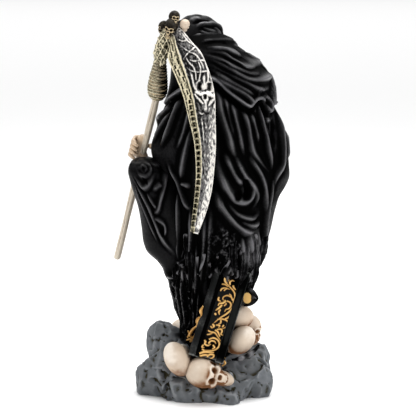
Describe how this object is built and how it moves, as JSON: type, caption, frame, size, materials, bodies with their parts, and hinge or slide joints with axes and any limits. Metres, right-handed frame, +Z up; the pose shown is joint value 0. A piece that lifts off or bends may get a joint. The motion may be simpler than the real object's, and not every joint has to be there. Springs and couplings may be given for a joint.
{
  "type": "santa muerte statue",
  "caption": "Hooded skeletal figure in a black robe holding a bone scythe, on a rock base with skulls and a leaning book; stands by its own weight.",
  "frame": {"origin": "middle of the rock base's flat underside", "axes": "+Z up through the figure, -Y the side the figure faces, +X its left hand with the scythe"},
  "size_m": [0.1344, 0.1086, 0.2901],
  "materials": {
    "black_robe": "satin black paint on cast resin, rubbed grey on the fold crests",
    "bone_and_silver": "silver and dull gold paint rubbed over black",
    "aged_bone": "ivory paint with a brown wash in the hollows",
    "grey_stone": "matt grey paint, darker in the pits",
    "book_black": "satin charcoal paint",
    "old_gilt": "gold paint with dark wash",
    "shaft_bone": "tan paint with dark streaks"
  },
  "bodies": {
    "root": {"statue": "black_robe", "scythe": "bone_and_silver"}
  },
  "joints": []
}
